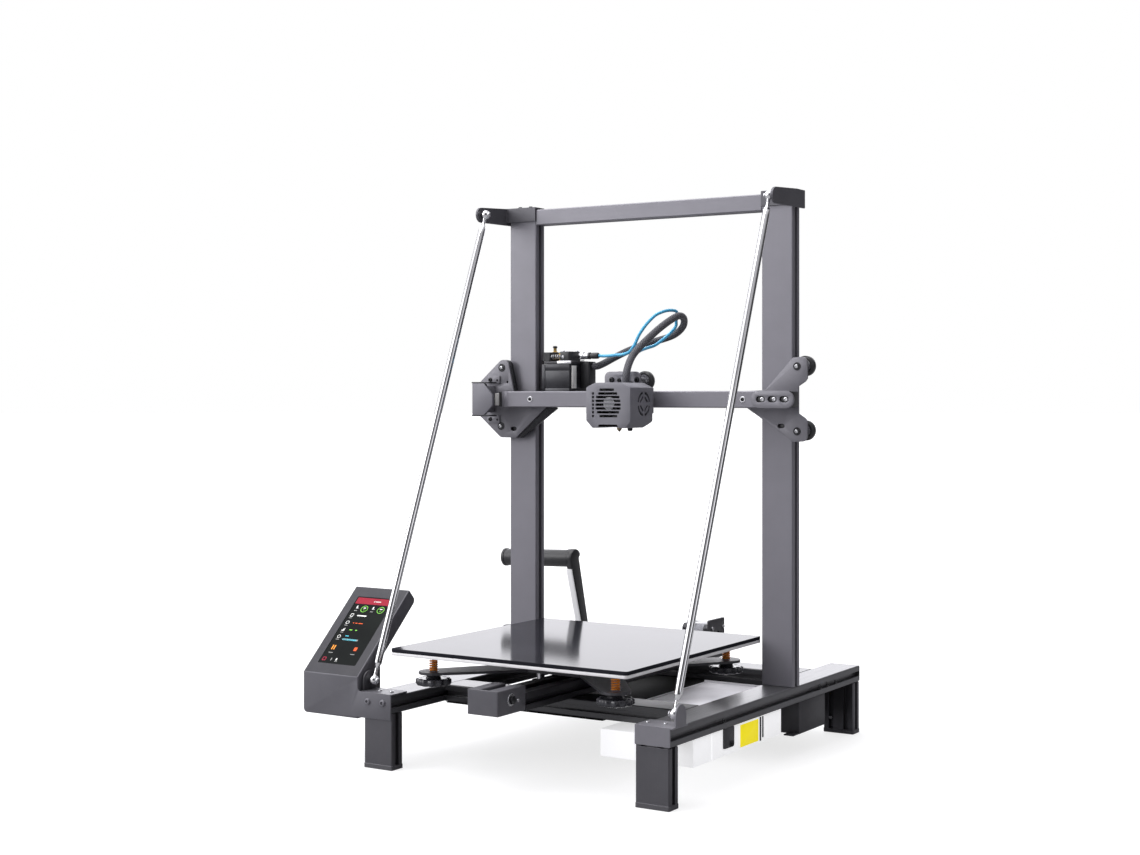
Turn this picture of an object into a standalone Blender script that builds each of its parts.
"""Open-frame desktop filament printer with a sliding bed, a rising gantry and tie rods."""

import math

import bmesh
import bpy
from mathutils import Vector

# Fits between pieces that rest on each other
GAP = 0.0003

# Slotted frame profile
PROFILE_W = 0.040
PROFILE_T = 0.020
SLOT_W = 0.0062
SLOT_D = 0.0055
PROFILE_EDGE = 0.0010

# Base frame
FRAME_W = 0.400
FRAME_L = 0.496
LEG_H = 0.0645
FOOT_H = 0.0040
FOOT_EDGE = 0.0014
FOOT_LIP = 0.0004
FRONT_CROSS_Y = 0.1008
REAR_CROSS_SETBACK = 0.096
REAR_CROSS_Y = FRAME_L - REAR_CROSS_SETBACK
FRAME_HALF = FRAME_W / 2
RAIL_X = FRAME_HALF - PROFILE_W / 2
RAIL_IN = FRAME_HALF - PROFILE_W
RAIL_TOP = LEG_H + PROFILE_T

# Posts and top beam
POST_Y = 0.2972
POST_TOP = 0.6654
POST_MID_Y = POST_Y + PROFILE_T / 2

# Bed drive beam with its belt channel
Y_BEAM_FRONT = 0.0057
Y_BEAM_SETBACK = 0.018
Y_BEAM_BACK = FRAME_L - Y_BEAM_SETBACK
BELT_CHANNEL_W = 0.012
BELT_CHANNEL_FLOOR = 0.0082
Y_BEAM_LOW = RAIL_TOP + GAP
Y_BEAM_TOP = Y_BEAM_LOW + PROFILE_T

# Belts
BELT_W = 0.006
BELT_T = 0.0014
BELT_R = 0.0064
BELT_ARC = 10

# Bed tensioner block
TENSIONER_W = 0.040
TENSIONER_FRONT = -0.048
TENSIONER_LIFT = 0.0014
TENSIONER_LOW = Y_BEAM_LOW + TENSIONER_LIFT
TENSIONER_H = 0.0271
TENSIONER_WALL = 0.0035
Y_IDLER_Y = -0.0234
Y_BELT_LIFT = 0.0167
Y_BELT_Z = Y_BEAM_LOW + Y_BELT_LIFT

# Stepper motors
MOTOR_W = 0.042
MOTOR_CHAMFER = 0.0085
MOTOR_L = 0.040
SHAFT_R = 0.0025
Y_MOTOR_CLEAR = 0.004
Y_MOTOR_Y = Y_BEAM_BACK + Y_MOTOR_CLEAR + MOTOR_W / 2
Y_MOTOR_FACE_X = -0.008
Y_BRACKET_T = 0.003
Y_BRACKET_LIFT = 0.0002
Y_BRACKET_H = 0.0440
Y_BRACKET_LOW = Y_BEAM_LOW + Y_BRACKET_LIFT
Y_BRACKET_TOP = Y_BRACKET_LOW + Y_BRACKET_H

# Rise drive
SCREW_OUT = 0.005
SCREW_X = -FRAME_HALF - SCREW_OUT
Z_MOTOR_CLEAR = 0.0068
SCREW_Y = POST_Y + PROFILE_T + Z_MOTOR_CLEAR + MOTOR_W / 2
SCREW_R = 0.004
SCREW_SHORT = 0.0254
SCREW_TOP = POST_TOP - SCREW_SHORT
COUPLER_R = 0.0095
COUPLER_H = 0.025
Z_MOTOR_L = 0.038
Z_PLATE_T = 0.003

# Tie rods and the brackets that hold them
ROD_INSET = 0.002
ROD_X = FRAME_HALF - ROD_INSET
ROD_R = 0.0043
ROD_END_R = 0.0030
ROD_END_L = 0.022
BALL_R = 0.0057
ROD_RISE = 0.0135
ROD_DROP = 0.0097
ROD_LOW = (0.015, RAIL_TOP + ROD_RISE)
ROD_HIGH = (0.239, POST_TOP - ROD_DROP)
TAB_T = 0.0020
TAB_X = ROD_X + BALL_R + GAP
TAB_HALF = 0.011
TAB_RISE = 0.0110
SHEET_T = 0.0020
CAP_T = 0.0030
CAP_SKIRT = 0.0180
EAR_R = 0.0095
CORNER_PLATE_LIFT = 0.0015
CORNER_PLATE_LOW = LEG_H + CORNER_PLATE_LIFT
CORNER_FLANGE = 0.030

# Screen housing
SCREEN_REACH = 0.090
SCREEN_LEFT = -FRAME_HALF - SCREEN_REACH
SCREEN_W = 0.082
SCREEN_FRONT = -0.0023
SCREEN_DROP = 0.0095
SCREEN_LOW = LEG_H - SCREEN_DROP
SCREEN_LIP_RISE = 0.0185
SCREEN_LIP = RAIL_TOP + SCREEN_LIP_RISE
SCREEN_DEPTH = 0.040
HEAD_TOP_Y = 0.095
HEAD_RISE = 0.091
HEAD_TOP_Z = SCREEN_LIP + HEAD_RISE
HEAD_T = 0.0188
DISPLAY_W = 0.056
DISPLAY_L = 0.102
DISPLAY_T = 0.0020
DISPLAY_SINK = 0.0006
DISPLAY_ALONG = 0.066
SCREEN_TAB_DROP = 0.0075
SCREEN_TAB_LOW = LEG_H - SCREEN_TAB_DROP

# Power supply and electronics box
PSU_INSET = 0.118
PSU_FRONT = 0.058
PSU_DROP = 0.0303
PSU_LOW = (FRAME_HALF - PSU_INSET, PSU_FRONT, LEG_H - PSU_DROP)
PSU_SIZE = (0.115, 0.215)
EBOX_INSET = 0.140
EBOX_W = 0.137
EBOX_L = 0.152
EBOX_LEG_CLEAR = 0.002
EBOX_DROP = 0.0425
EBOX_LEFT = FRAME_HALF - EBOX_INSET
EBOX_RIGHT = EBOX_LEFT + EBOX_W
EBOX_BACK = FRAME_L - PROFILE_T - EBOX_LEG_CLEAR
EBOX_FRONT = EBOX_BACK - EBOX_L
EBOX_LOW = LEG_H - EBOX_DROP
INLET_INSET = 0.038
INLET_RISE = 0.0215
INLET_X = EBOX_LEFT + INLET_INSET
INLET_Z = EBOX_LOW + INLET_RISE
INLET_W = 0.028
INLET_H = 0.021
INLET_D = 0.012
SWITCH_SPACING = 0.038
SWITCH_X = INLET_X + SWITCH_SPACING
SWITCH_W = 0.0130
SWITCH_H = 0.0190
SWITCH_D = 0.0060
SWITCH_CROWN = 0.0030
SWITCH_TILT = 8.0
SWITCH_CLEAR = 0.0016

# Spool holder
SPOOL_INSET = 0.009
SPOOL_ARM_X = -FRAME_HALF + SPOOL_INSET
SPOOL_ARM_W = 0.014
SPOOL_ARM_D = 0.016
SPOOL_SETBACK = 0.018
SPOOL_LEAN = 0.038
SPOOL_RISE = 0.1205
SPOOL_BASE_Y = FRAME_L - SPOOL_SETBACK
SPOOL_TUBE_Y = SPOOL_BASE_Y - SPOOL_LEAN
SPOOL_TUBE_Z = RAIL_TOP + SPOOL_RISE
SPOOL_TUBE_R = 0.0115
SPOOL_REACH = 0.115
SPOOL_LEFT = SPOOL_ARM_X - SPOOL_REACH
SPOOL_RIM_R = 0.0150
SPOOL_RIM_T = 0.0040
SPOOL_FOOT_W = 0.036

# Heated bed
BED_W = 0.310
BED_L = 0.316
BED_FRONT = -0.0093
CARRIAGE_PLATE_LIFT = 0.0089
CARRIAGE_PLATE_TOP = Y_BEAM_TOP + CARRIAGE_PLATE_LIFT
BED_LIFT = 0.0273
BED_TOP = CARRIAGE_PLATE_TOP + BED_LIFT
GLASS_T = 0.004
HEATER_T = 0.0035
BED_CORNER = 0.004
SPRING_X = 0.1205
SPRING_FRONT_Y = 0.0263
SPRING_BACK_Y = 0.2824
CARRIAGE_PLATE_T = 0.003
ARM_HALF = 0.017
HUB_HALF_X = 0.052
HUB_HALF_Y = 0.046
BOLT_R = 0.0020
BOLT_CLEAR = 0.0001
BOLT_DROP = 0.0187
BOLT_LOW = CARRIAGE_PLATE_TOP - BOLT_DROP

# Bed springs
SPRING_R = 0.0041
SPRING_WIRE_R = 0.00095
SPRING_TURNS = 6
SPRING_POINTS = 9

# Levelling knobs
KNOB_R = 0.0205
KNOB_H = 0.0125
KNOB_LOBES = 12
KNOB_SCALLOP = 0.0016

# Guide rollers
ROLLER_R = 0.012
ROLLER_W = 0.010
ROLLER_BEVEL = 0.0022
AXLE_R = 0.0025
AXLE_CLEAR = 0.0001
SPACER_R = 0.0042
BED_ROLLER_Y = (0.114, 0.196)
GANTRY_ROLLER_RISE = (-0.0363, 0.0392)

# Gantry
GANTRY_Z = 0.4223
X_BEAM_Z = GANTRY_Z - PROFILE_T / 2
X_BEAM_SETOUT = 0.0129
X_BEAM_Y = POST_Y - PROFILE_T - X_BEAM_SETOUT
X_MOTOR_OUT = 0.0035
X_MOTOR_X = -FRAME_HALF - X_MOTOR_OUT
X_MOTOR_CLEAR = 0.0005
X_BEAM_LEFT = X_MOTOR_X + MOTOR_W / 2 + X_MOTOR_CLEAR
X_BEAM_OUT = 0.005
X_BEAM_RIGHT = FRAME_HALF + X_BEAM_OUT
PLATE_T = 0.003
PLATE_Y = X_BEAM_Y + PROFILE_T + GAP
X_MOTOR_L = 0.038
X_IDLER_IN = 0.005
X_IDLER_X = FRAME_HALF - X_IDLER_IN
X_BELT_CLEAR = 0.0017
X_BELT_Y = PLATE_Y + PLATE_T + X_BELT_CLEAR
PLATE_OUT = 0.026
PLATE_RIGHT = FRAME_HALF + PLATE_OUT
NUT_W = 0.030
NUT_H = 0.016
NUT_CLEAR = 0.0002
NUT_ARM_OUT = 0.032
NUT_ARM_X = -FRAME_HALF - NUT_ARM_OUT
NUT_ARM_W = 0.014
IDLER_PLATE_OUT = 0.017
IDLER_PLATE_W = 0.054
IDLER_PLATE_RIGHT = FRAME_HALF + IDLER_PLATE_OUT
IDLER_PLATE_LEFT = IDLER_PLATE_RIGHT - IDLER_PLATE_W
IDLER_PLATE_T = 0.003

# Extruder on the gantry
EXTRUDER_POST_GAP = 0.0015
EXTRUDER_ARM_OUT = 0.0095
EXTRUDER_ARM_X = -RAIL_IN + EXTRUDER_POST_GAP
EXTRUDER_X = EXTRUDER_ARM_X + EXTRUDER_ARM_OUT + MOTOR_W / 2
EXTRUDER_CLEAR = 0.0003
EXTRUDER_Y = POST_Y + EXTRUDER_CLEAR + MOTOR_W / 2
EXTRUDER_LIFT = 0.0112
EXTRUDER_LOW = GANTRY_Z + EXTRUDER_LIFT
EXTRUDER_MOTOR_L = 0.0335
EXTRUDER_PLATE_T = 0.0032
EXTRUDER_ARM_W = 0.007
EXTRUDER_BODY_H = 0.0125
LEVER_T = 0.0115
LEVER_OFFSET = (-0.0080, 0.0125)
LEVER_PIVOT = (EXTRUDER_X + LEVER_OFFSET[0], EXTRUDER_Y + LEVER_OFFSET[1])
LEVER_L = 0.0260
FEED_OFFSET = (-0.0220, 0.0145)
FEED_PLACE = (EXTRUDER_X + FEED_OFFSET[0], EXTRUDER_Y + FEED_OFFSET[1])
FITTING_R = 0.0042
CABLE_BLOCK_W = 0.013

# Print head carriage
HEAD_X = 0.0065
HEAD_W = 0.061
CARRIAGE_SETOUT = 0.0103
CARRIAGE_Y = X_BEAM_Y - CARRIAGE_SETOUT
HEAD_DEPTH = 0.054
HEAD_FRONT = CARRIAGE_Y - HEAD_DEPTH
HEAD_DROP = 0.0339
HEAD_LOW = GANTRY_Z - HEAD_DROP
HEAD_H = 0.0509
HEAD_CORNER = 0.0090
HEAD_WALL = 0.0022
CARRIAGE_T = 0.003
CARRIAGE_W = 0.059
CARRIAGE_DROP = 0.0303
CARRIAGE_H = 0.064
CARRIAGE_LOW = GANTRY_Z - CARRIAGE_DROP
CARRIAGE_TOP = CARRIAGE_LOW + CARRIAGE_H
CARRIAGE_CORNER = 0.006
CLAMP_W = 0.014
CLAMP_T = 0.004
FAN_ASIDE = 0.0015
FAN_RISE = 0.0291
FAN_X = HEAD_X - FAN_ASIDE
FAN_Z = HEAD_LOW + FAN_RISE
FAN_R = 0.0170
FAN_SLOTS = 8
FAN_SLOT_H = 0.0022
ROTOR_R = 0.0155
ROTOR_HUB_R = 0.0085
ROTOR_IN = 0.0040
ROTOR_Y = HEAD_FRONT + ROTOR_IN
ROTOR_W = 0.0074
ROTOR_BLADES = 7
BLADE_PITCH = 40.0
FAN_BAR_T = 0.0030
HOTEND_OUT = 0.028
HOTEND_Y = CARRIAGE_Y - HOTEND_OUT
NOZZLE_DROP = 0.0049
NOZZLE_TIP = HEAD_LOW - NOZZLE_DROP
SINK_R = 0.0108
SINK_FINS = 4
BLOCK_SIZE = (0.022, 0.018, 0.011)

# Cable loop and filament tube, from the extruder to the print head
HARNESS_R = 0.0045
HARNESS_STEPS = 2
HARNESS_ROUTE = (
    (0.0080, 0.2385, 0.4397), (0.0080, 0.2395, 0.4515), (0.0070, 0.2465, 0.4635),
    (0.0055, 0.2590, 0.4750), (0.0075, 0.2720, 0.4855), (0.0095, 0.2865, 0.4950),
    (0.0140, 0.3130, 0.5110), (0.0180, 0.3405, 0.5240), (0.0185, 0.3560, 0.5270),
    (0.0150, 0.3715, 0.5240), (0.0085, 0.3830, 0.5170), (0.0000, 0.3890, 0.5105),
    (-0.0105, 0.3910, 0.5045), (-0.0225, 0.3880, 0.5000), (-0.0430, 0.3740, 0.4925),
    (-0.0580, 0.3560, 0.4840), (-0.0710, 0.3430, 0.4750), (-0.0800, 0.3335, 0.4680),
    (-0.0870, 0.3290, 0.4645), (-0.0934, 0.3290, 0.4645),
)
TUBE_R = 0.0020
TUBE_STEPS = 2
TUBE_ROUTE = (
    (-0.0795, 0.3200, 0.4775), (-0.0705, 0.3210, 0.4770), (-0.0555, 0.3210, 0.4780),
    (-0.0450, 0.3205, 0.4785), (-0.0365, 0.3210, 0.4810), (-0.0305, 0.3200, 0.4860),
    (-0.0265, 0.3205, 0.4920), (-0.0210, 0.3215, 0.5035), (-0.0135, 0.3260, 0.5160),
    (-0.0040, 0.3300, 0.5265), (0.0020, 0.3360, 0.5310), (0.0065, 0.3440, 0.5335),
    (0.0095, 0.3530, 0.5340), (0.0090, 0.3630, 0.5330), (0.0055, 0.3710, 0.5285),
    (0.0015, 0.3760, 0.5225), (-0.0005, 0.3785, 0.5150), (-0.0060, 0.3750, 0.5070),
    (-0.0115, 0.3645, 0.4980), (-0.0150, 0.3505, 0.4905), (-0.0165, 0.3325, 0.4865),
    (-0.0160, 0.3155, 0.4830), (-0.0125, 0.2960, 0.4775), (-0.0070, 0.2770, 0.4710),
    (-0.0015, 0.2585, 0.4660), (0.0000, 0.2500, 0.4540), (0.0000, 0.2490, 0.4397),
)

# Outer box of the printer, whose bottom centre is the origin
X_MIN = SPOOL_LEFT
X_MAX = PLATE_RIGHT
Y_MIN = TENSIONER_FRONT
Y_MAX = Y_MOTOR_Y + MOTOR_W / 2

# Colour, roughness and metallic value of each finish
FINISHES = {
    "frame_grey": ((0.145, 0.143, 0.165), 0.45, 0.6),
    "housing_grey": ((0.130, 0.128, 0.148), 0.50, 0.0),
    "dark_sheet": ((0.050, 0.049, 0.057), 0.50, 0.5),
    "case_black": ((0.030, 0.030, 0.034), 0.55, 0.0),
    "black_plastic": ((0.022, 0.022, 0.025), 0.45, 0.0),
    "motor_black": ((0.035, 0.035, 0.040), 0.40, 0.5),
    "chrome_rod": ((0.700, 0.700, 0.710), 0.12, 1.0),
    "screw_steel": ((0.560, 0.560, 0.570), 0.30, 1.0),
    "zinc_case": ((0.640, 0.640, 0.660), 0.40, 0.8),
    "bed_glass": ((0.020, 0.020, 0.023), 0.10, 0.0),
    "heater_white": ((0.780, 0.780, 0.790), 0.45, 0.2),
    "spring_copper": ((0.720, 0.270, 0.060), 0.35, 0.7),
    "screen_glass": ((0.012, 0.014, 0.014), 0.15, 0.0),
    "belt_rubber": ((0.018, 0.018, 0.018), 0.75, 0.0),
    "braid_black": ((0.030, 0.030, 0.033), 0.70, 0.0),
    "tube_blue": ((0.080, 0.380, 0.700), 0.35, 0.0),
    "switch_red": ((0.420, 0.030, 0.030), 0.40, 0.0),
}

ALONG_X = (math.radians(90), 0.0, math.radians(90))
ALONG_Y = (math.radians(90), 0.0, 0.0)
ALONG_Z = (0.0, 0.0, 0.0)


# Scene set-up
for old in list(bpy.data.objects):
    bpy.data.objects.remove(old, do_unlink=True)

PARTS = bpy.data.collections.new("fdm_printer")
CUTTERS = bpy.data.collections.new("cutters")
bpy.context.scene.collection.children.link(PARTS)
bpy.context.scene.collection.children.link(CUTTERS)

ORIGIN = bpy.data.objects.new("printer_origin", None)
ORIGIN.location = (-(X_MIN + X_MAX) / 2, -(Y_MIN + Y_MAX) / 2, 0.0)
PARTS.objects.link(ORIGIN)


def finish(name):
    """The Principled material of one finish."""
    found = bpy.data.materials.get(name)
    if found:
        return found
    colour, roughness, metallic = FINISHES[name]
    made = bpy.data.materials.new(name)
    made.use_nodes = True
    shader = made.node_tree.nodes["Principled BSDF"]
    shader.inputs["Base Color"].default_value = (*colour, 1.0)
    shader.inputs["Roughness"].default_value = roughness
    shader.inputs["Metallic"].default_value = metallic
    return made


def piece(name, data, place, coat, turn=ALONG_Z):
    """A named object in the printer's frame."""
    made = bpy.data.objects.new(name, data)
    made.location = place
    made.rotation_euler = turn
    made.parent = ORIGIN
    PARTS.objects.link(made)
    if coat:
        made.data.materials.append(finish(coat))
    return made


def helper(made):
    """Keep an object as an operand of a Boolean, out of the finished parts."""
    made.hide_render = True
    made.display_type = "WIRE"
    PARTS.objects.unlink(made)
    CUTTERS.objects.link(made)
    return made


def combine(target, operation, others):
    """Add Boolean modifiers that unite with, or cut away, each other object."""
    for other in others:
        step = target.modifiers.new(other.name, "BOOLEAN")
        step.operation = operation
        step.object = helper(other)
    return target


def unite(target, *others):
    return combine(target, "UNION", others)


def carve(target, *others):
    return combine(target, "DIFFERENCE", others)


def block(name, low, high, coat=None, turn=ALONG_Z):
    """A box between two corners."""
    low = Vector(low)
    high = Vector(high)
    shape = bmesh.new()
    bmesh.ops.create_cube(shape, size=1.0)
    bmesh.ops.scale(shape, vec=high - low, verts=shape.verts)
    data = bpy.data.meshes.new(name)
    shape.to_mesh(data)
    shape.free()
    return piece(name, data, (low + high) / 2, coat, turn)


def rod(name, start, length, radius, turn=ALONG_Z, coat=None, sides=20):
    """A cylinder that starts at a point and runs along its turned Z axis."""
    shape = bmesh.new()
    bmesh.ops.create_cone(
        shape, cap_ends=True, segments=sides, radius1=radius, radius2=radius, depth=length
    )
    bmesh.ops.translate(shape, vec=(0.0, 0.0, length / 2), verts=shape.verts)
    data = bpy.data.meshes.new(name)
    shape.to_mesh(data)
    shape.free()
    return piece(name, data, start, coat, turn)


def plate(name, loops, thickness, place, turn, coat=None):
    """A flat outline, with holes where a later loop lies inside the first, of one thickness."""
    curve = bpy.data.curves.new(name + "_outline", "CURVE")
    curve.dimensions = "2D"
    curve.fill_mode = "BOTH" if len(loops) > 1 else "NONE"
    curve.extrude = thickness / 2
    for loop in loops:
        spline = curve.splines.new("POLY")
        spline.points.add(len(loop) - 1)
        for point, (u, v) in zip(spline.points, loop):
            point.co = (u, v, 0.0, 1.0)
        spline.use_cyclic_u = True
    guide = bpy.data.objects.new(name + "_outline", curve)
    bpy.context.scene.collection.objects.link(guide)
    bpy.context.view_layer.update()
    graph = bpy.context.evaluated_depsgraph_get()
    data = bpy.data.meshes.new_from_object(guide.evaluated_get(graph))
    bpy.data.objects.remove(guide, do_unlink=True)
    shape = bmesh.new()
    shape.from_mesh(data)
    bmesh.ops.remove_doubles(shape, verts=shape.verts, dist=0.00002)
    if len(loops) == 1:
        bmesh.ops.holes_fill(shape, edges=shape.edges, sides=0)
    bmesh.ops.recalc_face_normals(shape, faces=shape.faces)
    shape.to_mesh(data)
    shape.free()
    data.name = name
    return piece(name, data, place, coat, turn)


def turned(name, profile, place, coat=None, turn=ALONG_Z, steps=24, ring=False):
    """A profile of (radius, height) points, run down its outer side, turned about Z."""
    data = bpy.data.meshes.new(name)
    edges = [(i, i + 1) for i in range(len(profile) - 1)]
    if ring:
        edges.append((len(profile) - 1, 0))
    data.from_pydata([(radius, 0.0, height) for radius, height in profile], edges, [])
    made = piece(name, data, place, coat, turn)
    screw = made.modifiers.new("turn", "SCREW")
    screw.axis = "Z"
    screw.angle = math.tau
    screw.steps = steps
    screw.render_steps = steps
    screw.use_merge_vertices = True
    screw.merge_threshold = 0.00001
    return made


def arc(centre, radius, start, end, count):
    """Points of an arc between two angles in degrees."""
    angles = [math.radians(start + (end - start) * i / (count - 1)) for i in range(count)]
    return [(centre[0] + radius * math.cos(a), centre[1] + radius * math.sin(a)) for a in angles]


def rounded(width, height, radius, count=4):
    """A centred rectangle with round corners."""
    u = width / 2 - radius
    v = height / 2 - radius
    points = []
    for centre, start in (((u, -v), -90), ((u, v), 0), ((-u, v), 90), ((-u, -v), 180)):
        points += arc(centre, radius, start, start + 90, count)
    return points


def chamfered(width, height, chamfer):
    """A centred rectangle with its corners cut off."""
    return rounded(width, height, chamfer, 2)


def slotted(width, height, slots):
    """The section of a frame profile, with slots counted on its bottom, right, top and left sides."""
    corners = [Vector((-width, -height)) / 2, Vector((width, -height)) / 2]
    corners += [Vector((width, height)) / 2, Vector((-width, height)) / 2]
    points = []
    for side, count in enumerate(slots):
        start = corners[side]
        end = corners[(side + 1) % 4]
        along = (end - start).normalized()
        inward = Vector((-along.y, along.x))
        points.append(start + along * PROFILE_EDGE)
        for k in range(count):
            middle = start + (end - start) * (2 * k + 1) / (2 * count)
            near = middle - along * SLOT_W / 2
            far = middle + along * SLOT_W / 2
            points += [near, near + inward * SLOT_D, far + inward * SLOT_D, far]
        points.append(end - along * PROFILE_EDGE)
    return [(p.x, p.y) for p in points]


def smooth_route(points, steps):
    """Points of a Catmull-Rom curve through a route."""
    route = [Vector(p) for p in points]
    route = [2 * route[0] - route[1]] + route + [2 * route[-1] - route[-2]]
    found = []
    for i in range(1, len(route) - 2):
        a, b, c, d = route[i - 1:i + 3]
        for k in range(steps):
            t = k / steps
            blend = 2 * b + (c - a) * t + (2 * a - 5 * b + 4 * c - d) * t * t
            found.append((blend + (3 * b - a - 3 * c + d) * t ** 3) / 2)
    found.append(route[-2])
    return found


def wire(name, points, radius, resolution, coat, place=(0.0, 0.0, 0.0)):
    """A round tube along a line of points."""
    curve = bpy.data.curves.new(name, "CURVE")
    curve.dimensions = "3D"
    curve.bevel_depth = radius
    curve.bevel_resolution = resolution
    curve.use_fill_caps = True
    spline = curve.splines.new("POLY")
    spline.points.add(len(points) - 1)
    for point, place_on in zip(spline.points, points):
        point.co = (*place_on, 1.0)
    return piece(name, curve, place, coat)


def motor_outline():
    return chamfered(MOTOR_W, MOTOR_W, MOTOR_CHAMFER)


# Base frame: two rails, two cross beams and four legs
def base_frame():
    for side, name in ((-1, "left"), (1, "right")):
        section = slotted(PROFILE_W, PROFILE_T, (2, 1, 0, 1))
        middle = (side * RAIL_X, FRAME_L / 2, LEG_H + PROFILE_T / 2)
        plate(name + "_rail", [section], FRAME_L, middle, ALONG_Y, "frame_grey")
    for name, front in (("front_crossbeam", FRONT_CROSS_Y), ("rear_crossbeam", REAR_CROSS_Y)):
        section = slotted(PROFILE_W, PROFILE_T, (2, 1, 0, 1))
        middle = (0.0, front + PROFILE_W / 2, LEG_H + PROFILE_T / 2)
        plate(name, [section], 2 * (RAIL_IN - GAP), middle, ALONG_X, "frame_grey")
    for end, y, slots in (
        ("front", PROFILE_T / 2, (0, 1, 2, 1)),
        ("rear", FRAME_L - PROFILE_T / 2, (2, 1, 0, 1)),
    ):
        for side, name in ((-1, "left"), (1, "right")):
            leg(f"{end}_{name}_leg", side * RAIL_X, y, slots)


def leg(name, x, y, slots):
    """A leg with its moulded foot cap."""
    top = LEG_H - GAP
    section = slotted(PROFILE_W, PROFILE_T, slots)
    made = plate(name, [section], top - FOOT_H, (x, y, (top + FOOT_H) / 2), ALONG_Z, "frame_grey")
    outline = rounded(PROFILE_W + 2 * FOOT_LIP, PROFILE_T + 2 * FOOT_LIP, FOOT_EDGE, 3)
    sunk = FOOT_H + PROFILE_EDGE
    unite(made, plate(name + "_foot", [outline], sunk, (x, y, sunk / 2), ALONG_Z))


# Uprights: two posts and the beam between their tops
def uprights():
    length = POST_TOP - RAIL_TOP - GAP
    for side, name in ((-1, "left"), (1, "right")):
        section = slotted(PROFILE_W, PROFILE_T, (0, 1, 2, 1))
        middle = (side * RAIL_X, POST_MID_Y, POST_TOP - length / 2)
        plate(name + "_post", [section], length, middle, ALONG_Z, "frame_grey")
        top_bracket(name + "_top_bracket", side)
    section = slotted(PROFILE_T, PROFILE_T, (1, 1, 1, 0))
    middle = (0.0, POST_MID_Y, POST_TOP - PROFILE_T / 2)
    plate("top_beam", [section], 2 * (RAIL_IN - GAP), middle, ALONG_X, "frame_grey")


def mirror_block(name, side, low, high, coat=None):
    """A box given for the right side, mirrored for the left."""
    xs = sorted((side * low[0], side * high[0]))
    return block(name, (xs[0], low[1], low[2]), (xs[1], high[1], high[2]), coat)


def top_bracket(name, side):
    """A cap over a post with a front skirt and an ear that reaches forward to the tie rod."""
    low = POST_TOP + GAP
    top = low + CAP_T
    front = POST_Y - GAP - SHEET_T
    back = POST_Y + PROFILE_T
    outer = TAB_X + CAP_T
    made = mirror_block(name, side, (RAIL_IN, front, low), (outer, back, top), "dark_sheet")
    skirt = mirror_block(
        name + "_skirt", side, (RAIL_IN, front, top - CAP_SKIRT), (outer, front + SHEET_T, top - CAP_T / 3)
    )
    outline = [(back, POST_TOP - CAP_SKIRT), (back, top), (front, top)]
    outline += arc(ROD_HIGH, EAR_R, 90, 270, 9)
    ear = plate(
        name + "_ear", [outline], CAP_T, (side * (TAB_X + CAP_T / 2), 0.0, 0.0), ALONG_X
    )
    unite(made, skirt, ear)


# Bed beam, its belt and the tensioner at its front
def bed_drive():
    section = slotted(PROFILE_W, PROFILE_T, (2, 1, 0, 1))
    length = Y_BEAM_BACK - Y_BEAM_FRONT
    middle = (0.0, Y_BEAM_FRONT + length / 2, Y_BEAM_LOW + PROFILE_T / 2)
    beam = plate("y_beam", [section], length, middle, ALONG_Y, "frame_grey")
    half = BELT_CHANNEL_W / 2
    floor = Y_BEAM_LOW + BELT_CHANNEL_FLOOR
    channel = block(
        "y_beam_channel", (-half, Y_BEAM_FRONT - GAP, floor), (half, Y_BEAM_BACK + GAP, Y_BEAM_TOP + GAP)
    )
    carve(beam, channel)
    belt_loop("y_belt", (Y_IDLER_Y, Y_BELT_Z), (Y_MOTOR_Y, Y_BELT_Z), (0.0, 0.0, 0.0), ALONG_X)
    tensioner()
    y_motor()


def belt_loop(name, first, second, place, turn):
    """A toothless loop round two pulleys, laid out in its own plane."""
    loops = []
    for radius in (BELT_R + BELT_T / 2, BELT_R - BELT_T / 2):
        loops.append(
            arc(first, radius, 90, 270, BELT_ARC) + arc(second, radius, -90, 90, BELT_ARC)
        )
    plate(name, loops, BELT_W, place, turn, "belt_rubber")


def tensioner():
    """The block at the front of the bed beam, open above and behind for the belt and its idler."""
    half = TENSIONER_W / 2
    back = Y_BEAM_FRONT - GAP
    top = TENSIONER_LOW + TENSIONER_H
    low = (-half, TENSIONER_FRONT, TENSIONER_LOW)
    made = block("y_tensioner_block", low, (half, back, top), "housing_grey")
    channel = block(
        "y_tensioner_channel",
        (-BELT_CHANNEL_W / 2, TENSIONER_FRONT + TENSIONER_WALL, Y_BEAM_LOW + BELT_CHANNEL_FLOOR),
        (BELT_CHANNEL_W / 2, back + GAP, top + GAP),
    )
    start = (-half + TENSIONER_WALL, Y_IDLER_Y, Y_BELT_Z)
    pin = rod("y_idler_pin", start, TENSIONER_W - 2 * TENSIONER_WALL, SHAFT_R, ALONG_X)
    carve(made, channel)
    unite(made, pin)


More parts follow.
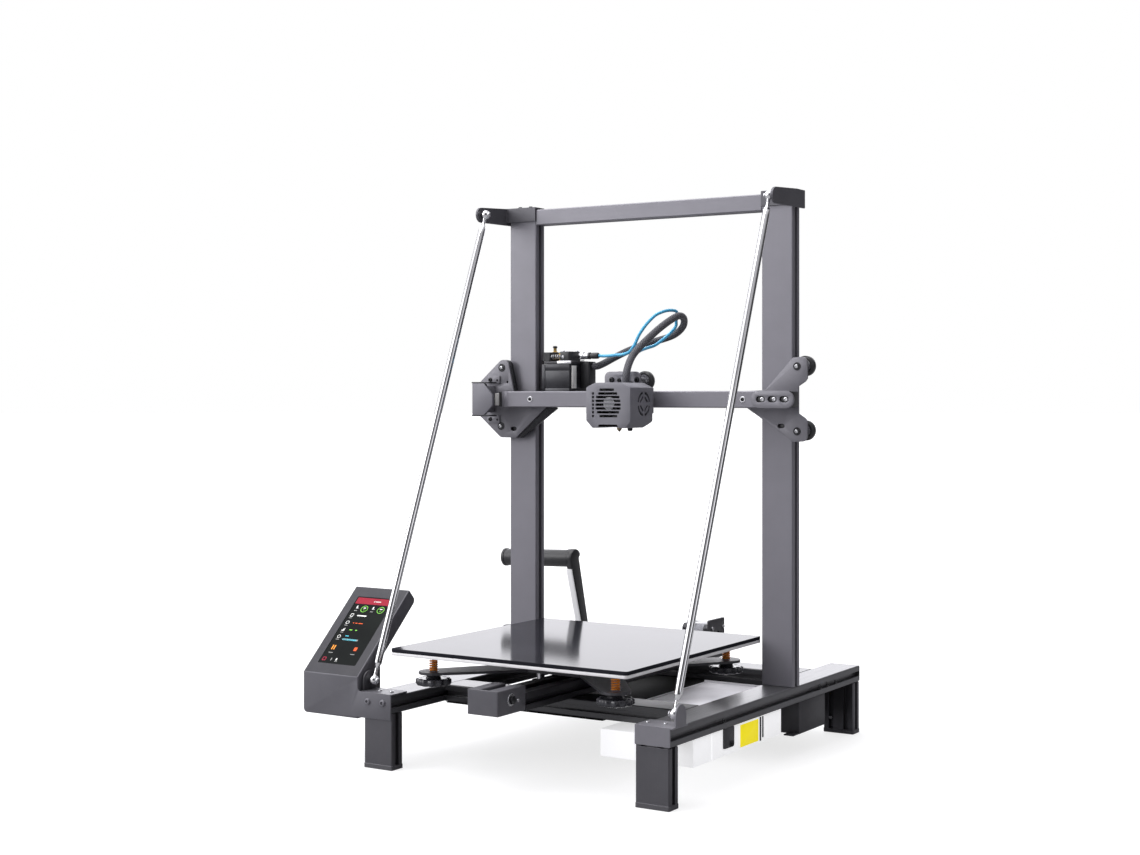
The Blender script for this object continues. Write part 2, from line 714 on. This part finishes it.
def y_motor():
    """The bed motor on its bracket behind the bed beam, with its shaft across the belt."""
    centre = (Y_MOTOR_FACE_X - MOTOR_L / 2, Y_MOTOR_Y, Y_BELT_Z)
    made = plate("y_motor", [motor_outline()], MOTOR_L, centre, ALONG_X, "motor_black")
    front = Y_BEAM_BACK + GAP
    back = Y_MOTOR_Y + MOTOR_W / 2 - PROFILE_EDGE
    inner = Y_MOTOR_FACE_X + Y_BRACKET_T
    cheek = block(
        "y_motor_cheek", (Y_MOTOR_FACE_X - GAP, front, Y_BRACKET_LOW), (inner, back, Y_BRACKET_TOP)
    )
    foot = block(
        "y_motor_foot", (-PROFILE_W / 2, front, Y_BRACKET_LOW), (inner, front + Y_BRACKET_T, Y_BEAM_TOP)
    )
    start = (Y_MOTOR_FACE_X, Y_MOTOR_Y, Y_BELT_Z)
    shaft = rod("y_motor_shaft", start, BELT_W - Y_MOTOR_FACE_X, SHAFT_R, ALONG_X)
    unite(made, cheek, foot, shaft)


# Rise drive: motor, plate and lead screw with its coupler
def rise_drive():
    low = RAIL_TOP + GAP
    top = low + Z_MOTOR_L
    centre = (SCREW_X, SCREW_Y, low + Z_MOTOR_L / 2)
    made = plate("z_motor", [motor_outline()], Z_MOTOR_L, centre, ALONG_Z, "motor_black")
    seat = block(
        "z_motor_plate",
        (SCREW_X - MOTOR_W / 2, POST_Y + PROFILE_T + GAP, top - GAP),
        (-RAIL_IN, SCREW_Y + MOTOR_W / 2, top + Z_PLATE_T),
    )
    unite(made, seat)
    bottom = top + Z_PLATE_T + GAP
    profile = [
        (0.0, SCREW_TOP - bottom), (SCREW_R - PROFILE_EDGE, SCREW_TOP - bottom),
        (SCREW_R, SCREW_TOP - bottom - PROFILE_EDGE), (SCREW_R, COUPLER_H),
        (COUPLER_R, COUPLER_H), (COUPLER_R, 0.0), (0.0, 0.0),
    ]
    turned("lead_screw", profile, (SCREW_X, SCREW_Y, bottom), "screw_steel", steps=16)


# Tie rods and the brackets at the frame's front corners
def tie_rods():
    for side, name in ((-1, "left"), (1, "right")):
        low = Vector((side * ROD_X, *ROD_LOW))
        high = Vector((side * ROD_X, *ROD_HIGH))
        span = (high - low).length
        ball = [(BALL_R * math.sin(a), BALL_R * math.cos(a)) for a in (math.pi * i / 12 for i in range(9))]
        neck = [(ROD_END_R, -BALL_R - ROD_END_L / 3), (ROD_R, -BALL_R - ROD_END_L / 2)]
        upper = [(r, span + h) for r, h in ball + neck]
        lower = [(r, -h) for r, h in reversed(ball + neck)]
        made = turned(name + "_tie_rod", upper + lower, low, "chrome_rod", steps=12)
        made.rotation_euler = (-math.atan2(high.y - low.y, high.z - low.z), 0.0, 0.0)


def rod_tab(name, side):
    """A flange on a rail's front end with the upright tab that carries a tie rod's lower ball."""
    low = RAIL_TOP + GAP
    flange = mirror_block(
        name + "_flange", side, (RAIL_IN + GAP, SCREEN_FRONT, low),
        (TAB_X + TAB_T, CORNER_FLANGE, low + SHEET_T),
    )
    y, z = ROD_LOW
    outline = [(y - TAB_HALF, low), (y + TAB_HALF, low)]
    outline += arc((y, z + TAB_RISE - TAB_HALF), TAB_HALF, 0, 180, 9)
    upright = plate(name + "_tab", [outline], TAB_T, (side * (TAB_X + TAB_T / 2), 0.0, 0.0), ALONG_X)
    return flange, upright


def right_corner():
    top = RAIL_TOP + GAP + SHEET_T
    made = block(
        "right_corner_bracket",
        (RAIL_IN + GAP, SCREEN_FRONT, CORNER_PLATE_LOW),
        (FRAME_HALF + SHEET_T, SCREEN_FRONT + SHEET_T, top - GAP),
        "dark_sheet",
    )
    unite(made, *rod_tab("right_corner", 1))


# Screen housing at the left front corner, with its display
def screen():
    rise = HEAD_TOP_Z - SCREEN_LIP
    run = HEAD_TOP_Y - SCREEN_FRONT
    tilt = math.atan2(rise, run)
    along = Vector((math.cos(tilt), math.sin(tilt)))
    inward = Vector((math.sin(tilt), -math.cos(tilt)))
    lip = Vector((SCREEN_FRONT, SCREEN_LIP))
    top = Vector((HEAD_TOP_Y, HEAD_TOP_Z))
    back = top + inward * HEAD_T
    under = back - along * (back.x - SCREEN_DEPTH) / along.x
    outline = [(SCREEN_FRONT, SCREEN_LOW), tuple(lip), tuple(top), tuple(back), tuple(under)]
    outline.append((SCREEN_DEPTH, SCREEN_LOW))
    centre = SCREEN_LEFT + SCREEN_W / 2
    made = plate("screen_housing", [outline], SCREEN_W, (centre, 0.0, 0.0), ALONG_X, "housing_grey")
    sheet = block(
        "screen_tab",
        (SCREEN_LEFT + SCREEN_W / 2, SCREEN_FRONT, SCREEN_TAB_LOW),
        (-RAIL_IN, SCREEN_FRONT + SHEET_T, RAIL_TOP + GAP + SHEET_T - GAP),
    )
    unite(made, sheet, *rod_tab("screen", -1))
    face = lip + along * DISPLAY_ALONG
    lean = (tilt, 0.0, 0.0)
    depth = DISPLAY_T + DISPLAY_SINK
    recess = plate(
        "display_recess", [rounded(DISPLAY_W + 2 * GAP, DISPLAY_L + 2 * GAP, BED_CORNER / 2)],
        2 * (depth + GAP), (centre, face.x, face.y), lean,
    )
    carve(made, recess)
    seat = face + inward * (DISPLAY_SINK + DISPLAY_T / 2)
    plate(
        "display_panel", [rounded(DISPLAY_W, DISPLAY_L, BED_CORNER / 2)], DISPLAY_T,
        (centre, seat.x, seat.y), lean, "screen_glass",
    )


# Power supply, and the electronics box with the mains inlet and its switch
def power():
    top = LEG_H - GAP
    low = Vector(PSU_LOW)
    block("psu_case", low, (low.x + PSU_SIZE[0], low.y + PSU_SIZE[1], top), "zinc_case")
    box = block(
        "electronics_box", (EBOX_LEFT, EBOX_FRONT, EBOX_LOW), (EBOX_RIGHT, EBOX_BACK, top), "case_black"
    )
    inlet = plate(
        "inlet_recess", [chamfered(INLET_W, INLET_H, PROFILE_EDGE * 4)], 2 * INLET_D,
        (INLET_X, EBOX_BACK, INLET_Z), ALONG_Y,
    )
    opening = Vector((SWITCH_W / 2 + SWITCH_CLEAR / 2, SWITCH_D + SWITCH_CLEAR, SWITCH_H / 2 + SWITCH_CLEAR))
    hinge = Vector((SWITCH_X, EBOX_BACK, INLET_Z))
    well = block("switch_well", hinge - opening, hinge + opening)
    carve(box, inlet, well)
    pin = rod(
        "switch_pin", (SWITCH_X - SWITCH_W / 2 - SWITCH_CLEAR, EBOX_BACK - SWITCH_D / 2, INLET_Z),
        SWITCH_W + 2 * SWITCH_CLEAR, AXLE_R / 2, ALONG_X, sides=12,
    )
    unite(box, pin)
    crown = SWITCH_D / 2 + SWITCH_CROWN
    rocker = [(-SWITCH_D / 2, -SWITCH_H / 2), (crown, -SWITCH_H / 2), (SWITCH_D / 2, 0.0)]
    rocker += [(crown, SWITCH_H / 2), (-SWITCH_D / 2, SWITCH_H / 2)]
    lean = math.radians(-SWITCH_TILT)
    rocker = [
        (y * math.cos(lean) - z * math.sin(lean), y * math.sin(lean) + z * math.cos(lean)) for y, z in rocker
    ]
    bore = arc((0.0, 0.0), AXLE_R / 2 + AXLE_CLEAR, 0, 330, 12)
    axis = (SWITCH_X, EBOX_BACK - SWITCH_D / 2, INLET_Z)
    plate("power_switch", [rocker, bore], SWITCH_W, axis, ALONG_X, "switch_red")


# Spool holder: a leaning arm on the left rail with a tube for the spool
def spool_holder():
    low = RAIL_TOP + GAP
    half = SPOOL_ARM_D / 2
    outline = [
        (SPOOL_BASE_Y - half, low + GAP), (SPOOL_BASE_Y + half, low + GAP),
        (SPOOL_TUBE_Y + half, SPOOL_TUBE_Z),
    ]
    outline += arc((SPOOL_TUBE_Y, SPOOL_TUBE_Z), SPOOL_TUBE_R + SHEET_T, 20, 180, 7)
    outline.append((SPOOL_TUBE_Y - half, SPOOL_TUBE_Z - SPOOL_ARM_D))
    made = plate("spool_holder", [outline], SPOOL_ARM_W, (SPOOL_ARM_X, 0.0, 0.0), ALONG_X, "dark_sheet")
    foot = block(
        "spool_foot",
        (-RAIL_X - SPOOL_FOOT_W / 2, SPOOL_BASE_Y - SPOOL_ARM_D, low),
        (-RAIL_X + SPOOL_FOOT_W / 2, SPOOL_BASE_Y + SPOOL_ARM_D, low + SHEET_T),
    )
    reach = SPOOL_ARM_X - SPOOL_LEFT
    profile = [
        (0.0, reach), (SPOOL_TUBE_R, reach), (SPOOL_TUBE_R, SPOOL_RIM_T),
        (SPOOL_RIM_R, SPOOL_RIM_T), (SPOOL_RIM_R, 0.0), (0.0, 0.0),
    ]
    tube = turned("spool_tube", profile, (SPOOL_LEFT, SPOOL_TUBE_Y, SPOOL_TUBE_Z), None, ALONG_X, 24)
    unite(made, foot, tube)


# Bed: glass, heater with its bolts, springs, knobs and the carriage below
def bed():
    middle_y = BED_FRONT + BED_L / 2
    outline = rounded(BED_W, BED_L, BED_CORNER)
    plate("glass_plate", [outline], GLASS_T, (0.0, middle_y, BED_TOP - GLASS_T / 2), ALONG_Z, "bed_glass")
    heater_top = BED_TOP - GLASS_T - GAP
    heater_low = heater_top - HEATER_T
    centre = (0.0, middle_y, heater_top - HEATER_T / 2)
    heater = plate("heat_plate", [outline], HEATER_T, centre, ALONG_Z, "heater_white")
    knob_top = CARRIAGE_PLATE_TOP - CARRIAGE_PLATE_T - GAP
    for end, y in (("front", SPRING_FRONT_Y), ("rear", SPRING_BACK_Y)):
        for side, name in ((-1, "left"), (1, "right")):
            place = Vector((side * SPRING_X, y, 0.0))
            start = place + Vector((0, 0, BOLT_LOW))
            unite(heater, rod(f"bolt_{end}_{name}", start, heater_top - BOLT_LOW - GAP, BOLT_R, sides=12))
            spring(f"{end}_{name}_spring", place, heater_low)
            knob(f"{end}_{name}_knob", place + Vector((0, 0, knob_top - KNOB_H)))
    bed_carriage()


def spring(name, place, top):
    """A bed spring between the carriage plate and the heater, its ends straight and square."""
    low = CARRIAGE_PLATE_TOP + GAP
    high = top - GAP
    stub = 2 * SPRING_WIRE_R
    rise = high - low - 2 * stub
    count = SPRING_TURNS * SPRING_POINTS
    points = [Vector((SPRING_R, 0.0, low))]
    for i in range(count + 1):
        turn = math.tau * i / SPRING_POINTS
        height = low + stub + rise * i / count
        points.append(Vector((SPRING_R * math.cos(turn), SPRING_R * math.sin(turn), height)))
    points.append(Vector((SPRING_R, 0.0, high)))
    least = rise / SPRING_TURNS - 2 * SPRING_WIRE_R
    for i in range(1, count - SPRING_POINTS + 2):
        for k in range(i + SPRING_POINTS - 1, min(i + SPRING_POINTS + 2, count + 2)):
            least = min(least, (points[i] - points[k]).length - 2 * SPRING_WIRE_R)
    print(f"{name}: least gap between curls {least * 1000:.2f} mm")
    wire(name, points, SPRING_WIRE_R, 1, "spring_copper", place)


def knob(name, place):
    """A scalloped levelling nut on its bolt."""
    outer = []
    for i in range(KNOB_LOBES * 4):
        turn = math.tau * i / (KNOB_LOBES * 4)
        radius = KNOB_R - KNOB_SCALLOP * (1 - math.cos(turn * KNOB_LOBES)) / 2
        outer.append((radius * math.cos(turn), radius * math.sin(turn)))
    bore = arc((0.0, 0.0), BOLT_R + BOLT_CLEAR, 0, 330, 12)
    made = plate(name, [outer, bore], KNOB_H, place + Vector((0, 0, KNOB_H / 2)), ALONG_Z, "black_plastic")
    return made


def bed_carriage():
    """The star-shaped plate under the bed, with the bolts of its rollers and its belt clamp."""
    middle_y = (SPRING_FRONT_Y + SPRING_BACK_Y) / 2
    reach_y = (SPRING_BACK_Y - SPRING_FRONT_Y) / 2
    outline = []
    for sx, sy, start in ((1, -1, -120), (1, 1, -30), (-1, 1, 60), (-1, -1, 150)):
        tip = (sx * SPRING_X, middle_y + sy * reach_y)
        ends = [(HUB_HALF_X - ARM_HALF, HUB_HALF_Y + ARM_HALF)]
        ends.append((HUB_HALF_X + ARM_HALF, HUB_HALF_Y - ARM_HALF))
        if sx * sy > 0:
            ends.reverse()
        outline.append((sx * ends[0][0], middle_y + sy * ends[0][1]))
        outline += arc(tip, ARM_HALF, start, start + 150, 8)
        outline.append((sx * ends[1][0], middle_y + sy * ends[1][1]))
    loops = [outline]
    for sx in (-1, 1):
        for y in (SPRING_FRONT_Y, SPRING_BACK_Y):
            loops.append(arc((sx * SPRING_X, y), BOLT_R + BOLT_CLEAR, 0, 330, 12))
    low = CARRIAGE_PLATE_TOP - CARRIAGE_PLATE_T
    made = plate(
        "bed_carriage", loops, CARRIAGE_PLATE_T, (0.0, 0.0, CARRIAGE_PLATE_TOP - CARRIAGE_PLATE_T / 2),
        ALONG_Z, "dark_sheet",
    )
    roller_z = Y_BEAM_LOW + PROFILE_T / 2
    for side, y, name in bed_roller_places():
        x = side * (PROFILE_W / 2 + ROLLER_R + GAP)
        spacer_low = roller_z + ROLLER_W / 2 + GAP
        spacer = rod(name + "_spacer", (x, y, spacer_low), low + GAP - spacer_low, SPACER_R, sides=16)
        axle_low = roller_z - ROLLER_W / 2 - GAP
        axle = rod(name + "_axle", (x, y, axle_low), ROLLER_W + 3 * GAP, AXLE_R, sides=16)
        unite(made, spacer, axle)
        roller(name, (x, y, roller_z), ALONG_Z)
    half = BELT_CHANNEL_W / 2 - PROFILE_EDGE
    clamp_low = Y_BELT_Z + BELT_R + BELT_T / 2 + GAP
    clamp = block("belt_clamp", (-half, middle_y - half, clamp_low), (half, middle_y + half, low + GAP))
    unite(made, clamp)


def bed_roller_places():
    """Two rollers on the left of the bed beam and one on its right."""
    near, far = BED_ROLLER_Y
    return (
        (-1, near, "bed_roller_left_front"),
        (-1, far, "bed_roller_left_rear"),
        (1, (near + far) / 2, "bed_roller_right"),
    )


def roller(name, place, turn):
    """A grooved guide roller with its bore, turned about its axle."""
    half = ROLLER_W / 2
    inner = AXLE_R + AXLE_CLEAR
    profile = [
        (inner, half), (ROLLER_R - ROLLER_BEVEL, half), (ROLLER_R, half - ROLLER_BEVEL),
        (ROLLER_R, ROLLER_BEVEL - half), (ROLLER_R - ROLLER_BEVEL, -half), (inner, -half),
    ]
    return turned(name, profile, place, "black_plastic", turn, 18, ring=True)


# Gantry: beam, end plates, motor, belt and rollers on the posts
def gantry():
    section = slotted(PROFILE_T, PROFILE_T, (1, 1, 1, 0))
    length = X_BEAM_RIGHT - X_BEAM_LEFT
    middle = (X_BEAM_LEFT + length / 2, X_BEAM_Y + PROFILE_T / 2, GANTRY_Z)
    plate("x_beam", [section], length, middle, ALONG_X, "frame_grey")
    plates = {-1: left_gantry_plate(), 1: right_gantry_plate()}
    for side, name in ((-1, "left"), (1, "right")):
        for rise, level in zip(GANTRY_ROLLER_RISE, ("lower", "upper")):
            post_roller(plates[side], f"post_roller_{name}_{level}", side, GANTRY_Z + rise)
    centre = (X_MOTOR_X, X_BEAM_Y + PROFILE_T - X_MOTOR_L / 2, GANTRY_Z)
    plate("x_motor", [motor_outline()], X_MOTOR_L, centre, ALONG_Y, "motor_black")
    belt_loop(
        "x_belt", (X_MOTOR_X, GANTRY_Z), (X_IDLER_X, GANTRY_Z), (0.0, X_BELT_Y + BELT_W / 2, 0.0), ALONG_Y
    )


def post_roller(holder, name, side, z):
    """A roller on a post's outer side, with its axle and spacer on a gantry plate."""
    x = side * (FRAME_HALF + ROLLER_R + GAP)
    back = PLATE_Y + PLATE_T
    near = POST_MID_Y - ROLLER_W / 2 - GAP
    along_back = (-math.radians(90), 0.0, 0.0)
    spacer = rod(name + "_spacer", (x, back - GAP, z), near - back + GAP, SPACER_R, along_back, sides=16)
    axle = rod(name + "_axle", (x, near - GAP, z), ROLLER_W + 3 * GAP, AXLE_R, along_back, sides=16)
    unite(holder, spacer, axle)
    roller(name, (x, POST_MID_Y, z), ALONG_Y)


def left_gantry_plate():
    """The left end plate with the arm that carries the lead screw's nut behind the post."""
    edge = -FRAME_HALF
    outline = [
        (edge + 0.022, GANTRY_Z - 0.0495), (edge + 0.065, GANTRY_Z - 0.0125),
        (edge + 0.065, GANTRY_Z + PROFILE_T / 2), (edge + 0.028, GANTRY_Z + PROFILE_T / 2),
        (edge + 0.020, GANTRY_Z + PROFILE_T),
    ]
    outline += arc((edge + 0.008, GANTRY_Z + 0.0385), 0.012, 0, 130, 7)
    outline += [(edge - 0.033, GANTRY_Z + 0.024), (edge - 0.033, GANTRY_Z - 0.024)]
    outline += arc((edge + 0.010, GANTRY_Z - 0.0395), 0.010, 225, 270, 3)
    place = (0.0, PLATE_Y + PLATE_T / 2, 0.0)
    made = plate("left_gantry_plate", [outline], PLATE_T, place, ALONG_Y, "frame_grey")
    low = GANTRY_Z - NUT_H / 2
    high = GANTRY_Z + NUT_H / 2
    back = SCREW_Y + NUT_W / 2
    arm = block("nut_arm", (NUT_ARM_X, PLATE_Y + PLATE_T - GAP, low), (NUT_ARM_X + NUT_ARM_W, back, high))
    nut = block("nut_block", (NUT_ARM_X, SCREW_Y - NUT_W / 2 + GAP, low), (SCREW_X + NUT_W / 2, back, high))
    hole = rod("nut_hole", (SCREW_X, SCREW_Y, low - NUT_H), 3 * NUT_H, SCREW_R + NUT_CLEAR, sides=16)
    unite(made, arm, nut)
    carve(made, hole)
    return made


def right_gantry_plate():
    """The right end plate with the idler holder that wraps round the beam's end."""
    inner = FRAME_HALF - 0.050
    outline = [(inner, GANTRY_Z - PROFILE_T / 2), (PLATE_RIGHT - 0.022, GANTRY_Z - 0.0495)]
    outline += arc((PLATE_RIGHT - 0.012, GANTRY_Z - 0.0363), 0.012, -70, 0, 4)
    outline += arc((PLATE_RIGHT - 0.012, GANTRY_Z + 0.0392), 0.012, 0, 130, 7)
    outline += [(inner + 0.024, GANTRY_Z + PROFILE_T / 2), (inner, GANTRY_Z + PROFILE_T / 2)]
    place = (0.0, PLATE_Y + PLATE_T / 2, 0.0)
    made = plate("right_gantry_plate", [outline], PLATE_T, place, ALONG_Y, "frame_grey")
    front = X_BEAM_Y - GAP - IDLER_PLATE_T
    half = PROFILE_T / 2
    face = [(IDLER_PLATE_RIGHT, GANTRY_Z - half), (IDLER_PLATE_RIGHT, GANTRY_Z + half)]
    face += arc((IDLER_PLATE_LEFT + half, GANTRY_Z), half, 90, 270, 9)
    holder = plate("idler_plate", [face], IDLER_PLATE_T, (0.0, front + IDLER_PLATE_T / 2, 0.0), ALONG_Y)
    wrap = block(
        "idler_wrap",
        (X_BEAM_RIGHT + GAP, front + GAP, GANTRY_Z - half + GAP),
        (IDLER_PLATE_RIGHT - GAP, PLATE_Y + GAP, GANTRY_Z + half - GAP),
    )
    unite(made, wrap, holder)
    return made


# Extruder: motor, body with its bracket, and the sprung lever
def extruder():
    low = EXTRUDER_LOW
    top = low + EXTRUDER_MOTOR_L
    centre = (EXTRUDER_X, EXTRUDER_Y, (low + top) / 2)
    plate("extruder_motor", [motor_outline()], EXTRUDER_MOTOR_L, centre, ALONG_Z, "motor_black")
    seat = top + GAP
    deck = seat + EXTRUDER_PLATE_T
    half = MOTOR_W / 2
    front = EXTRUDER_Y - half
    arm_right = EXTRUDER_ARM_X + EXTRUDER_ARM_W
    corner = (EXTRUDER_X + half, EXTRUDER_Y + half, deck)
    made = block("extruder_body", (EXTRUDER_ARM_X, front, seat), corner, "dark_sheet")
    tongue_low = GANTRY_Z - NUT_H / 4
    tongue_high = GANTRY_Z + NUT_H / 4
    tongue = block(
        "extruder_tongue", (EXTRUDER_ARM_X, PLATE_Y + PLATE_T + GAP, tongue_low),
        (arm_right, front + PLATE_T, tongue_high),
    )
    arm = block(
        "extruder_arm", (EXTRUDER_ARM_X, front, tongue_low), (arm_right, front + 2 * PLATE_T, deck - GAP)
    )
    drive = block(
        "drive_block", (EXTRUDER_X + SHEET_T, front + PLATE_T, deck - GAP),
        (EXTRUDER_X + half - PLATE_T, EXTRUDER_Y + half / 3, deck + EXTRUDER_BODY_H),
    )
    holder = block(
        "cable_block", (EXTRUDER_X + half - PLATE_T, EXTRUDER_Y + PLATE_T, deck - 2 * CABLE_BLOCK_W),
        (EXTRUDER_X + half + CABLE_BLOCK_W, EXTRUDER_Y + half - PLATE_T, deck - GAP),
    )
    gap_to_motor = block(
        "cable_gap", (EXTRUDER_X, front - GAP, low),
        (EXTRUDER_X + half + GAP, EXTRUDER_Y + half + GAP, top + GAP),
    )
    carve(holder, gap_to_motor)
    fitting_z = TUBE_ROUTE[0][2]
    fitting_start = EXTRUDER_X + half - 2 * PLATE_T
    fitting = rod(
        "tube_fitting", (fitting_start, TUBE_ROUTE[0][1], fitting_z),
        TUBE_ROUTE[0][0] - GAP - fitting_start, FITTING_R, ALONG_X, sides=16,
    )
    inlet = rod("filament_inlet", (*FEED_PLACE, deck - GAP), EXTRUDER_BODY_H * 1.6, AXLE_R, sides=16)
    pin = rod("lever_pin", (*LEVER_PIVOT, deck - GAP), EXTRUDER_BODY_H, AXLE_R, sides=16)
    unite(made, tongue, arm, drive, holder, fitting, inlet, pin)
    lever_z = deck + GAP
    outline = arc((0.0, 0.0), AXLE_R * 2.6, -20, 160, 9)
    outline += [(-0.0190, -LEVER_L + 0.0075), (-0.0190, -LEVER_L), (-0.0080, -LEVER_L)]
    bore = arc((0.0, 0.0), AXLE_R + AXLE_CLEAR, 0, 330, 12)
    axis = (*LEVER_PIVOT, lever_z + LEVER_T / 2)
    plate("extruder_lever", [outline, bore], LEVER_T, axis, ALONG_Z, "black_plastic")


# Print head: carriage plate, shroud, fan rotor and hot end
def print_head():
    outline = rounded(CARRIAGE_W, CARRIAGE_TOP - CARRIAGE_LOW, CARRIAGE_CORNER)
    centre = (HEAD_X, CARRIAGE_Y + CARRIAGE_T / 2, (CARRIAGE_LOW + CARRIAGE_TOP) / 2)
    made = plate("carriage_plate", [outline], CARRIAGE_T, centre, ALONG_Y, "frame_grey")
    beam_top = X_BEAM_Z + PROFILE_T
    bar_low = beam_top + 2 * PROFILE_EDGE
    grip = X_BELT_Y + BELT_W
    left = HEAD_X - CLAMP_W / 2
    right = HEAD_X + CLAMP_W / 2
    strand = GANTRY_Z + BELT_R + BELT_T / 2
    bar = block("belt_bar", (left, CARRIAGE_Y + CARRIAGE_T - GAP, bar_low), (right, grip, bar_low + CLAMP_T))
    clamp = block("belt_grip", (left, X_BELT_Y, strand + GAP), (right, grip, bar_low + GAP))
    unite(made, bar, clamp)
    shroud()
    rotor()
    hot_end()


def shroud():
    """The moulded cover of the print head, open behind, with a slotted grille before its fan."""
    back = CARRIAGE_Y - GAP
    depth = back - HEAD_FRONT
    centre = (HEAD_X, HEAD_FRONT + depth / 2, HEAD_LOW + HEAD_H / 2)
    outline = chamfered(HEAD_W, HEAD_H, HEAD_CORNER)
    made = plate("fan_shroud", [outline], depth, centre, ALONG_Y, "housing_grey")
    inner_w = HEAD_W - 2 * HEAD_WALL
    inner_h = HEAD_H - 2 * HEAD_WALL
    hollow = plate(
        "shroud_hollow", [chamfered(inner_w, inner_h, HEAD_CORNER - HEAD_WALL / 2)], depth,
        (HEAD_X, centre[1] + HEAD_WALL, centre[2]), ALONG_Y,
    )
    mouth = block(
        "shroud_mouth", (HEAD_X - HEAD_W / 4, HEAD_FRONT - GAP, HEAD_LOW - GAP),
        (HEAD_X + HEAD_W / 4, back + GAP, HEAD_LOW + 2 * HEAD_WALL),
    )
    carve(made, hollow, mouth)
    for i in range(FAN_SLOTS):
        offset = FAN_R * (2 * i + 1 - FAN_SLOTS) / FAN_SLOTS
        reach = math.sqrt(FAN_R ** 2 - offset ** 2)
        slot = block(
            f"fan_slot_{i}", (FAN_X - reach, HEAD_FRONT - GAP, FAN_Z + offset - FAN_SLOT_H / 2),
            (FAN_X + reach, HEAD_FRONT + 2 * HEAD_WALL, FAN_Z + offset + FAN_SLOT_H / 2),
        )
        carve(made, slot)
    bar_y = ROTOR_Y + ROTOR_W + GAP
    reach = HEAD_W / 2 - HEAD_WALL / 2
    bar = block(
        "fan_bar", (HEAD_X - reach, bar_y, FAN_Z - FAN_BAR_T),
        (HEAD_X + reach, bar_y + FAN_BAR_T, FAN_Z + FAN_BAR_T),
    )
    unite(made, bar)


def rotor():
    """The fan's hub with its blades, turned about the axis across the grille."""
    along_back = (-math.radians(90), 0.0, 0.0)
    made = rod("fan_rotor", (FAN_X, ROTOR_Y, FAN_Z), ROTOR_W, ROTOR_HUB_R, along_back, "black_plastic", 24)
    for i in range(ROTOR_BLADES):
        turn = math.tau * i / ROTOR_BLADES
        middle = (ROTOR_R + ROTOR_HUB_R - PLATE_T) / 2
        blade = block(
            f"fan_blade_{i}",
            (-(ROTOR_R - ROTOR_HUB_R + PLATE_T) / 2, -ROTOR_W * 0.36, -SHEET_T / 4),
            ((ROTOR_R - ROTOR_HUB_R + PLATE_T) / 2, ROTOR_W * 0.36, SHEET_T / 4),
        )
        across = (middle * math.cos(turn), ROTOR_W / 2, middle * math.sin(turn))
        blade.location = Vector((FAN_X, ROTOR_Y, FAN_Z)) + Vector(across)
        blade.rotation_euler = (math.radians(BLADE_PITCH), -turn, 0.0)
        unite(made, blade)


def hot_end():
    """The finned heat sink, heater block and nozzle, hung from a bar on the carriage plate."""
    block_low = NOZZLE_TIP + 2 * PLATE_T - PROFILE_EDGE
    block_top = block_low + BLOCK_SIZE[2]
    sink_low = block_top + PLATE_T
    pitch = HEAD_LOW + HEAD_H - 2 * HEAD_WALL - sink_low
    pitch = pitch / SINK_FINS
    profile = []
    for i in reversed(range(SINK_FINS)):
        low = sink_low + i * pitch
        profile += [(SINK_R, low + pitch * 0.5), (SINK_R, low), (SINK_R / 2, low)]
        if i:
            profile.append((SINK_R / 2, low - pitch * 0.5))
    profile = [(0.0, profile[0][1])] + profile
    profile += [(AXLE_R, sink_low), (AXLE_R, block_low), (PLATE_T, block_low)]
    profile += [(PLATE_T, NOZZLE_TIP + PLATE_T), (PROFILE_EDGE / 2, NOZZLE_TIP), (0.0, NOZZLE_TIP)]
    made = turned("hot_end", profile, (HEAD_X, HOTEND_Y, 0.0), "zinc_case", steps=20)
    size = Vector(BLOCK_SIZE)
    corner = Vector((HEAD_X - size.x / 2, HOTEND_Y - size.y / 2, block_low + GAP))
    heater = block("heater_block", corner, corner + size)
    bar = block(
        "hot_end_bar", (HEAD_X - SINK_R * 0.7, HOTEND_Y, sink_low + pitch * 2),
        (HEAD_X + SINK_R * 0.7, CARRIAGE_Y - GAP, sink_low + pitch * 3),
    )
    unite(made, heater, bar)


# Cable loop and filament tube
def cords():
    harness = smooth_route(HARNESS_ROUTE, HARNESS_STEPS)
    tube = smooth_route(TUBE_ROUTE, TUBE_STEPS)
    wire("hotend_harness", harness, HARNESS_R, 3, "braid_black")
    wire("filament_tube", tube, TUBE_R, 2, "tube_blue")
    for name, points in (("hotend_harness", harness), ("filament_tube", tube)):
        length = sum((b - a).length for a, b in zip(points, points[1:]))
        print(f"{name}: {length * 1000:.0f} mm long")


base_frame()
uprights()
bed_drive()
rise_drive()
tie_rods()
right_corner()
screen()
power()
spool_holder()
bed()
gantry()
extruder()
print_head()
cords()
